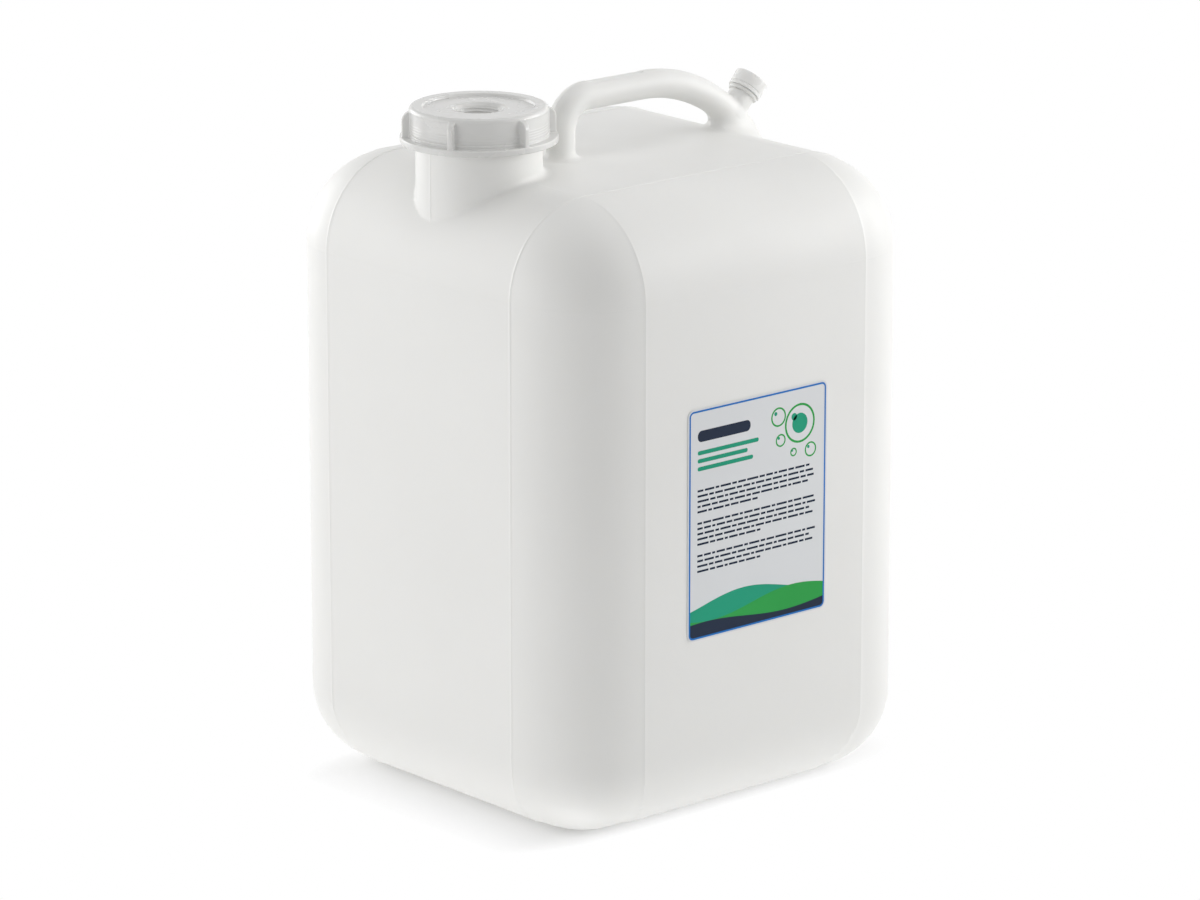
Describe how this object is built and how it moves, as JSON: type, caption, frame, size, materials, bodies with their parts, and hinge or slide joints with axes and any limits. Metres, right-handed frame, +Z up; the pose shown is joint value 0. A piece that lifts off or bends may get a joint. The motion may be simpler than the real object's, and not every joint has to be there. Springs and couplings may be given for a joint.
{
  "type": "soap refill jerrican",
  "caption": "Square translucent plastic jerrican with a moulded carrying handle, a lugged screw cap and a small slanted vent cap, holding a liquid soap refill.",
  "frame": {"origin": "centre of the base, on the surface the jerrican stands on", "axes": "+Z up; -Y is the side with the label; the handle runs along X on the plane y = 0, with the main neck at -X and the vent at +X"},
  "size_m": [0.26, 0.2549, 0.3894],
  "materials": {
    "natural_plastic": "satin, translucent natural polyethylene",
    "cap_plastic": "satin, natural polyethylene",
    "seal_foam": "matte foam",
    "label_film": "printed film, satin",
    "soap": "clear pearly liquid"
  },
  "bodies": {
    "bottle": {"bottle": "natural_plastic", "label": "label_film", "soap_fill": "soap"},
    "cap_gasket": {"cap_gasket": "seal_foam"},
    "main_cap": {"main_cap": "cap_plastic"},
    "vent_cap_liner": {"vent_cap_liner": "seal_foam"},
    "vent_cap": {"vent_cap": "cap_plastic"}
  },
  "joints": [
    {"name": "cap_lift", "type": "slide", "parent": "bottle", "child": "cap_gasket", "axis": [0, 0, 1], "range_m": [0, 0.0064]},
    {"name": "cap_turn", "type": "hinge", "parent": "cap_gasket", "child": "main_cap", "pos_m": [-0.086, 0, 0.37], "axis": [0, 0, 1], "range_deg": [0, 540]},
    {"name": "vent_lift", "type": "slide", "parent": "bottle", "child": "vent_cap_liner", "axis": [0.682, 0, 0.7314], "range_m": [0, 0.0038]},
    {"name": "vent_turn", "type": "hinge", "parent": "vent_cap_liner", "child": "vent_cap", "pos_m": [0.11048, 0, 0.3717], "axis": [0.682, 0, 0.7314], "range_deg": [0, 540]}
  ],
  "couplings": [
    {"joint": "cap_lift", "follows": "cap_turn", "m_per_rad": 0.00067371},
    {"joint": "vent_lift", "follows": "vent_turn", "m_per_rad": 0.00039789}
  ]
}
